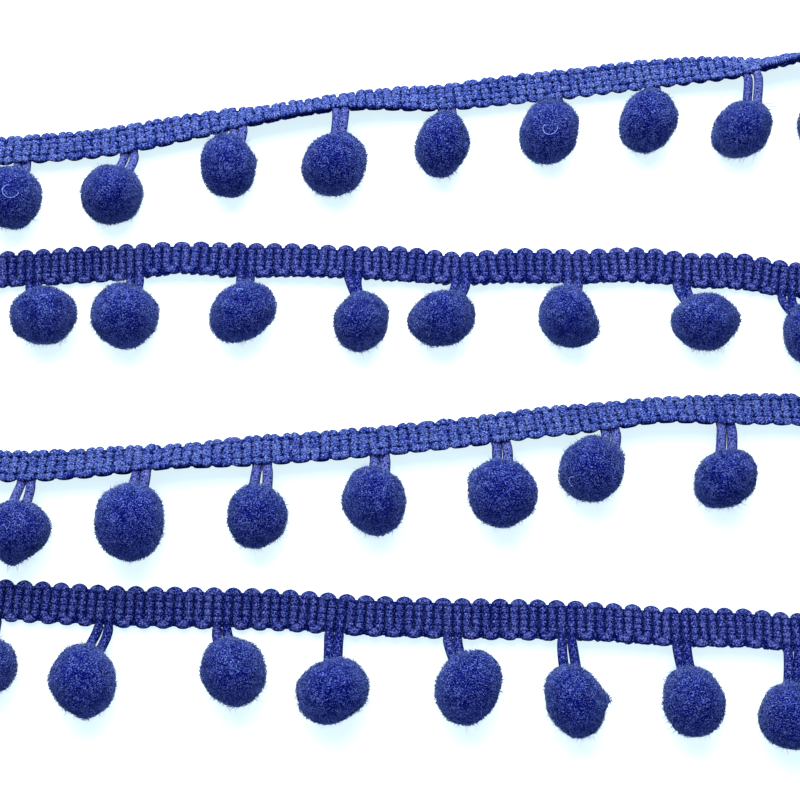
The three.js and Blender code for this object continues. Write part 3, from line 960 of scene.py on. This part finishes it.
def stitch_axes(ribs, half_size, slant, rise):
    """Scaled axes for a stitch at each rib: along the braid, across it and out of its back."""
    _, along, across, back = band_axes(ribs)
    slant, rise = np.radians(slant)[:, None], np.radians(rise)[:, None]
    long_axis = unit(along * np.cos(slant) + across * np.sin(slant) + back * np.tan(rise))
    wide_axis = unit(np.cross(back, long_axis))
    out_axis = np.cross(long_axis, wide_axis)
    return np.stack([long_axis, wide_axis, out_axis], axis=1) * half_size[:, :, None]


def make_stitches(material):
    """Five rows of chain stitches along the braid's back, one stitch to a rib in each row."""
    ribs = np.repeat(np.arange(-SPARE_RIBS, LAST_RIB) + 0.5, len(STITCH_ROWS))
    rows = np.tile(STITCH_ROWS, LAST_RIB + SPARE_RIBS)
    half_size = np.tile(STITCH_HALF_SIZE, (len(ribs), 1))
    half_size[:, 0] *= rib_pitch(ribs)
    half_size *= 1 + RANDOM.normal(0, STITCH_SIZE_SPREAD, half_size.shape)
    side = np.where(rows == STITCH_ROWS[-1], 1, np.where(rows == STITCH_ROWS[0], -1, 0))
    at_edge = np.abs(side) * back_up(ribs)
    to_turn = np.where(ribs % 2 < 1, -1, 1) * side
    half_size[:, 1] *= 1 + at_edge * (EDGE_STITCH_WIDER - 1)
    along_by = RANDOM.normal(0, STITCH_ALONG_SPREAD, len(ribs)) + at_edge * to_turn * EDGE_STITCH_INWARD
    across_by = RANDOM.normal(0, STITCH_ACROSS_SPREAD, len(ribs)) + at_edge * side * EDGE_STITCH_SHIFT
    out_by = RANDOM.normal(0, STITCH_OUT_SPREAD, len(ribs))
    places = band_place(ribs + along_by, rows + across_by, STITCH_OUT + out_by)
    slant = STITCH_SLANT + at_edge * (to_turn * side * EDGE_STITCH_SLANT - STITCH_SLANT)
    slant = slant + RANDOM.normal(0, STITCH_SLANT_SPREAD, len(ribs))
    rise = RANDOM.normal(STITCH_RISE, STITCH_RISE_SPREAD, len(ribs))
    shape = stitch_shape()
    axes = stitch_axes(ribs, half_size, slant, rise)
    vertices, faces = repeated(shape, places, axes)
    tones = np.repeat(RANDOM.normal(STITCH_TONE, STITCH_TONE_SPREAD, len(ribs)), len(shape[0]))
    new_piece(
        "braid_chain_stitches", vertices, [faces], material, ["braid"],
        {"tone": tones}, [unrolled_corners(shape, axes)],
    )


def make_warp_threads(material):
    """The straight threads that the chain stitches are worked over, one under each row."""
    ribs = np.arange(-SPARE_RIBS, LAST_RIB + 1).astype(float)
    ups = band_axes(ribs)[3]
    half_width, half_height = (np.full(len(ribs), half) for half in WARP_HALF_SIZE)
    tubes = []
    for row, tuck in zip(STITCH_ROWS, WARP_TUCK):
        path = band_place(ribs, row - tuck * back_up(ribs), WARP_OUT)
        tubes.append(swept_tube(path, ups, half_width, half_height, WARP_SIDES))
    # Their dark tone is painted shade in the gaps between stitches.
    joined_tubes("braid_warp_threads", tubes, material, "braid_cord", ["braid"], [WARP_PAINTED_SHADE_TONE] * len(tubes))


def make_ties(material):
    """Short threads across the grooves of the braid's front, where the chain stitches come through."""
    ribs = np.repeat(np.arange(1 - SPARE_RIBS, LAST_RIB).astype(float), len(STITCH_ROWS))
    rows = np.tile(STITCH_ROWS, LAST_RIB + SPARE_RIBS - 1)
    half_size = np.tile(TIE_HALF_SIZE, (len(ribs), 1))
    places = band_place(ribs, rows + RANDOM.normal(0, TIE_ACROSS_SPREAD, len(ribs)), TIE_OUT)
    shape = tie_shape()
    axes = stitch_axes(ribs, half_size, RANDOM.normal(0, TIE_SLANT_SPREAD, len(ribs)), np.zeros(len(ribs)))
    vertices, faces = repeated(shape, places, axes)
    # Their dark tone is painted shade in the grooves of the front.
    tones = np.full(len(vertices), WARP_PAINTED_SHADE_TONE)
    new_piece(
        "braid_tie_threads", vertices, [faces], material, ["braid"],
        {"tone": tones}, [unrolled_corners(shape, axes)],
    )


# Pompoms


def pompom_balls():
    """Centre, radii and turn of each pompom, in order along the braid, and the way its stretch heads."""
    balls = []
    for stretch, rows in enumerate(POMPOMS):
        for _, x, y, long, short, turned in rows:
            radii = np.array([long / 2, short / 2, (long + short) / 4])
            centre = np.array([x, y, FLAT_SPOT * radii[2]])
            heading = PASSES[stretch // 2][0]
            balls.append({"centre": centre, "radii": radii, "turned": turned, "heading": heading})
    return balls


def turned_about_up(degrees):
    """What rows of points are multiplied by to turn them about +Z."""
    angle = math.radians(degrees)
    c, s = math.cos(angle), math.sin(angle)
    return np.array([[c, s, 0], [-s, c, 0], [0, 0, 1]])


def waves(directions, counts, phase):
    """Uneven waves over a ball, which differ with the phase."""
    return np.sin(directions * counts + np.arange(1, 4) * phase).sum(axis=1)


def clipped_surface(index, directions):
    """Points of a pompom's clipped outside, about its centre, in directions of the unturned ball."""
    ball = BALLS[index]
    lumps = waves(directions, LUMP_WAVES, index)
    fine_lumps = waves(directions, FINE_LUMP_WAVES, index + FINE_LUMP_PHASE)
    swell = 1 + LUMP * lumps + FINE_LUMP * fine_lumps
    points = directions * swell[:, None] * ball["radii"]
    points = points @ turned_about_up(ball["turned"])
    outward = unit(points)
    for pompom, towards, height, spread in TUFTS:
        if pompom == index + 1:
            aim = np.array([math.cos(math.radians(towards)), math.sin(math.radians(towards)), 0])
            away = np.degrees(np.arccos(np.clip(outward @ aim, -1, 1)))
            points = points + outward * (height * np.exp(-(away / spread) ** 2))[:, None]
    points[:, 2] = np.maximum(points[:, 2], -FLAT_SPOT * ball["radii"][2])
    return points


def even_directions(count):
    """Directions spread evenly over a ball, a little shaken."""
    height = 1 - 2 * (np.arange(count) + 0.5) / count
    angle = np.arange(count) * math.pi * (3 - math.sqrt(5))
    flat = np.sqrt(1 - height ** 2)
    spread = np.stack([flat * np.cos(angle), flat * np.sin(angle), height], axis=1)
    return unit(spread + RANDOM.normal(0, SPACING_SHAKE / math.sqrt(count), spread.shape))


def core_shape():
    bm = bmesh.new()
    bmesh.ops.create_icosphere(bm, subdivisions=CORE_FINENESS, radius=1)
    return shape_arrays(bm)


def tangents(outward):
    """A chance direction along the surface at each outward direction."""
    return unit(np.cross(outward, RANDOM.normal(0, 1, outward.shape)))


def fibre_axes(long_axis, half_width):
    """Scaled axes for fibres along z: two across each fibre and its own length."""
    side = tangents(unit(long_axis))
    other = unit(np.cross(long_axis, side))
    return np.stack([side * half_width[:, None], other * half_width[:, None], long_axis], axis=1)


def felted_fibres(index):
    """Fibres that lie every way on a pompom's clipped surface."""
    surface = clipped_surface(index, even_directions(FELT_FIBRES))
    outward = unit(surface)
    tilt = np.radians(RANDOM.normal(0, FELT_TILT, len(surface)))[:, None]
    half_length = RANDOM.uniform(*FELT_HALF_LENGTH, len(surface))[:, None]
    half_width = RANDOM.uniform(*FELT_HALF_WIDTH, len(surface))
    long_axis = (tangents(outward) * np.cos(tilt) + outward * np.sin(tilt)) * half_length
    places = surface + outward * RANDOM.normal(-CORE_DEPTH / 2, CORE_DEPTH / 3, (len(surface), 1))
    vertices, faces = repeated(felt_shape(), places, fibre_axes(long_axis, half_width))
    each = len(vertices) // len(surface)
    height = np.linalg.norm(vertices, axis=1) - np.repeat(np.linalg.norm(surface, axis=1), each)
    tones = np.repeat(RANDOM.normal(FELT_TONE, FELT_TONE_SPREAD, len(surface)), each)
    # Painted shade: the deeper a part of a fibre lies, the darker it is.
    return vertices, faces, tones + FELT_DEPTH_PAINTED_SHADE * (height + CORE_DEPTH / 2)


def fuzz_fibres(index):
    """Finer fibres that stand out of the surface, most of them short, and which vertices are tips."""
    surface = clipped_surface(index, even_directions(FUZZ_FIBRES))
    outward = unit(surface)
    roots = surface + outward * FUZZ_ROOT
    clumps = np.clip(1 + CLUMP_SWAY * waves(outward, CLUMP_WAVES, index + CLUMP_PHASE), 0, CLUMP_MOST)
    share = RANDOM.uniform(0, 1, (len(surface), 1)) ** FUZZ_SHORTNESS * clumps[:, None]
    tips = surface + outward * (FUZZ_REACH[0] + share * (FUZZ_REACH[1] - FUZZ_REACH[0]))
    tips += tangents(outward) * (FUZZ_RUN[0] + share * (FUZZ_RUN[1] - FUZZ_RUN[0]))
    half_width = RANDOM.uniform(*FUZZ_HALF_WIDTH, len(surface))
    shape = spike_shape()
    vertices, faces = repeated(shape, roots, fibre_axes(tips - roots, half_width))
    tips = np.tile(shape[0][:, 2], len(surface))
    # Painted light: the tone grows lighter from each fibre's root to its tip.
    return vertices, faces, FUZZ_TONE + (FUZZ_TIP_PAINTED_LIGHT - FUZZ_TONE) * tips, tips


def chance_facing(count, each):
    """How far each of the fibres faces its own way, for every vertex of it."""
    return np.repeat(RANDOM.normal(0, FIBRE_FACING, (count, 3)), each, axis=0)


def make_pompom(index, material):
    """A lumpy ball of packed pile, felted over by fibres that lie every way, with fuzz standing out."""
    core, core_faces = core_shape()
    packed = clipped_surface(index, unit(core))
    packed -= unit(packed) * CORE_DEPTH
    felt, felt_faces, felt_tones = felted_fibres(index)
    fuzz, fuzz_faces, fuzz_tones, fuzz_tips = fuzz_fibres(index)
    vertices = np.vstack([packed, felt, fuzz])
    faces = [core_faces, felt_faces + len(packed), fuzz_faces + len(packed) + len(felt)]
    outward = unit(vertices)
    # Painted light: the pile low on a pompom is made paler, and its fuzz paler still, for the light from the
    # bright table below.
    low = np.clip((PAINTED_LIGHT_FROM - outward[:, 2]) / PAINTED_LIGHT_SPAN, 0, 1) ** PAINTED_LIGHT_CURVE
    tones = np.concatenate([np.full(len(packed), CORE_TONE), felt_tones, fuzz_tones])
    fuzz_pale = FUZZ_PAINTED_LIGHT_ROOT + (FUZZ_PAINTED_LIGHT_TIP - FUZZ_PAINTED_LIGHT_ROOT) * fuzz_tips
    felt_facing = chance_facing(FELT_FIBRES, len(felt) // FELT_FIBRES)
    fuzz_facing = chance_facing(FUZZ_FIBRES, len(fuzz) // FUZZ_FIBRES) + UP * FUZZ_FACING_UP
    attributes = {
        "tone": tones + PAINTED_LIGHT_TONE * low,
        "pale": low * np.concatenate([np.zeros(len(packed) + len(felt)), fuzz_pale]),
        "outward": unit(outward + np.vstack([np.zeros_like(packed), felt_facing, fuzz_facing])),
    }
    name = f"pompom_pile_{index + 1:02d}"
    nodes = [f"pompom_{index + 1:02d}"]
    new_piece(name, vertices + BALLS[index]["centre"], faces, material, nodes, attributes)


def make_curls(material):
    """Loose curled hairs that have come out of the pile."""
    tubes, outward = [], []
    for pompom, towards, slope, size, turned, sweep in CURLS:
        ball = BALLS[pompom - 1]
        a, e = math.radians(towards), math.radians(slope)
        aim = np.array([[math.cos(a) * math.cos(e), math.sin(a) * math.cos(e), math.sin(e)]])
        seat = clipped_surface(pompom - 1, aim @ turned_about_up(-ball["turned"]))[0] + ball["centre"]
        side = unit(np.cross(UP, aim[0]))
        other = np.cross(aim[0], side)
        bend = np.radians(turned + np.linspace(0, sweep, CURL_STEPS))[:, None]
        lift = CURL_LIFT + np.linspace(0, CURL_RISE, CURL_STEPS)[:, None] * size
        grow = np.linspace(*CURL_GROW, CURL_STEPS)[:, None] * size
        path = seat + (side * np.cos(bend) + other * np.sin(bend)) * grow + aim[0] * lift
        half = np.full(CURL_STEPS, CURL_HALF_WIDTH)
        tubes.append(swept_tube(path, np.tile(aim, (CURL_STEPS, 1)), half, half, CURL_SIDES))
        outward.append(np.tile(aim, (CURL_STEPS * CURL_SIDES, 1)))
    outward = np.vstack(outward)
    # The loose hairs take the paler colour as their own, not as painted light.
    pale = np.full(len(outward), PALE_HAIR)
    tones = [CURL_TONE] * len(tubes)
    joined_tubes("pompom_loose_hairs", tubes, material, "pompom_pile", [], tones, pale=pale, outward=outward)


# Camera, light and floor


def make_floor():
    bm = bmesh.new()
    bmesh.ops.create_grid(bm, x_segments=1, y_segments=1, size=FLOOR_HALF_SIZE)
    mesh = bpy.data.meshes.new("table")
    bm.to_mesh(mesh)
    bm.free()
    mesh.materials.append(fresh_material("pale_table", FLOOR_FINISH)[0])
    floor = bpy.data.objects.new("table", mesh)
    bpy.context.scene.collection.objects.link(floor)


def make_studio():
    """One broad soft light from above the trim's far side, in a white room."""
    light = bpy.data.lights.new("window_light", "AREA")
    light.shape = "DISK"
    light.size = LIGHT_SIZE
    light.energy = LIGHT_POWER
    light.color = LIGHT_COLOUR
    lamp = bpy.data.objects.new("window_light", light)
    lamp.location = LIGHT_PLACE
    lamp.visible_camera = False
    lamp.rotation_euler = (-LIGHT_PLACE).to_track_quat("-Z", "Y").to_euler()
    scene = bpy.context.scene
    scene.collection.objects.link(lamp)
    world = bpy.data.worlds.new("white_room")
    world.use_nodes = True
    background = world.node_tree.nodes["Background"]
    background.inputs["Color"].default_value = ROOM_COLOUR
    background.inputs["Strength"].default_value = ROOM_STRENGTH
    scene.world = world
    scene.view_settings.view_transform = "Standard"


def make_camera():
    data = bpy.data.cameras.new("camera")
    data.lens = CAMERA_LENS
    data.sensor_width = CAMERA_SENSOR
    data.clip_start, data.clip_end = CAMERA_CLIP
    camera = bpy.data.objects.new("camera", data)
    tilt = math.radians(CAMERA_TILT)
    aim = Vector((SHIFT[0], SHIFT[1], 0))
    camera.location = aim + Vector((0, -math.sin(tilt), math.cos(tilt))) * CAMERA_DISTANCE
    camera.rotation_euler = (tilt, 0, 0)
    bpy.context.scene.collection.objects.link(camera)
    bpy.context.scene.camera = camera


BALLS = pompom_balls()
cord_finish = knitted_cord_material()
stitch_finish = spun_thread_material()
pile_finish = felted_pile_material()

make_cord(cord_finish)
make_stitches(stitch_finish)
make_warp_threads(stitch_finish)
make_ties(stitch_finish)
for number in range(len(BALLS)):
    make_pompom(number, pile_finish)
make_curls(pile_finish)

make_floor()
make_studio()
make_camera()
